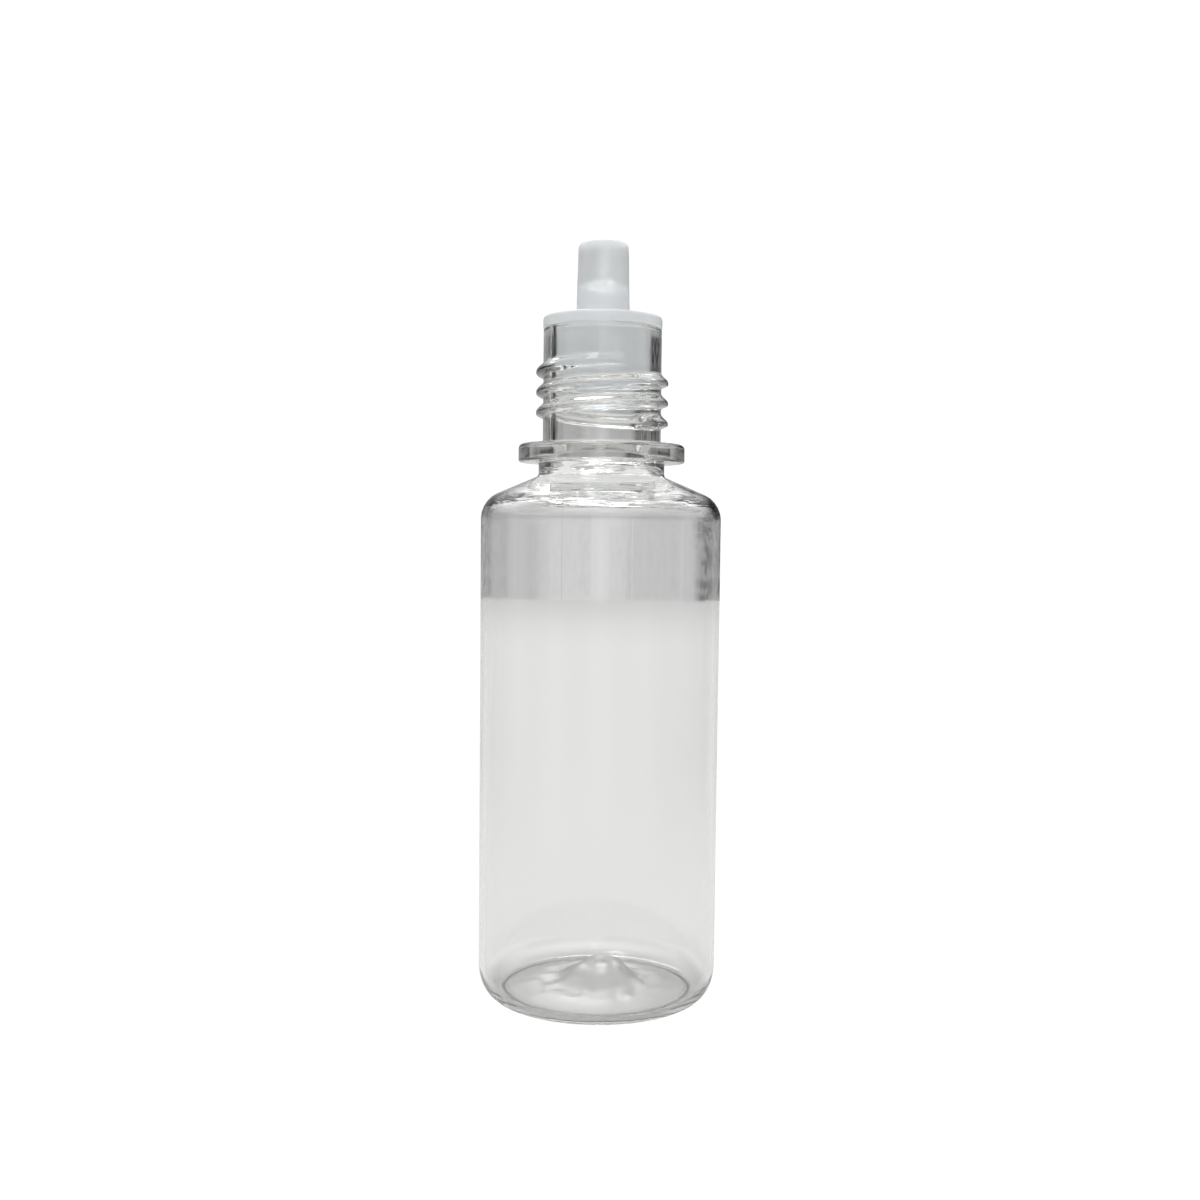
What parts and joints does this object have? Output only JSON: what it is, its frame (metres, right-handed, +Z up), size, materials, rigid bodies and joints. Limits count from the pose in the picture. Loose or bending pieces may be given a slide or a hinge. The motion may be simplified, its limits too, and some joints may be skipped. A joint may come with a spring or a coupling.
{
  "type": "dropper bottle",
  "caption": "Squeeze dropper bottle: a clear cylindrical bottle with a screw-thread neck and a press-in dropper tip that lets liquid out drop by drop.",
  "frame": {"origin": "centre of the face that the bottle stands on", "axes": "+Z up along the bottle's axis towards the dropper tip; -Y towards the viewer in front"},
  "size_m": [0.0274, 0.0274, 0.0865],
  "materials": {
    "clear_pet": "clear, glossy, blow moulded",
    "translucent_ldpe": "translucent white, satin"
  },
  "bodies": {
    "bottle": {"bottle": "clear_pet"},
    "dropper_insert": {"dropper_insert": "translucent_ldpe"}
  },
  "joints": [
    {"name": "insert_pull", "type": "slide", "parent": "bottle", "child": "dropper_insert", "axis": [0, 0, 1], "range_m": [0, 0.008]}
  ]
}
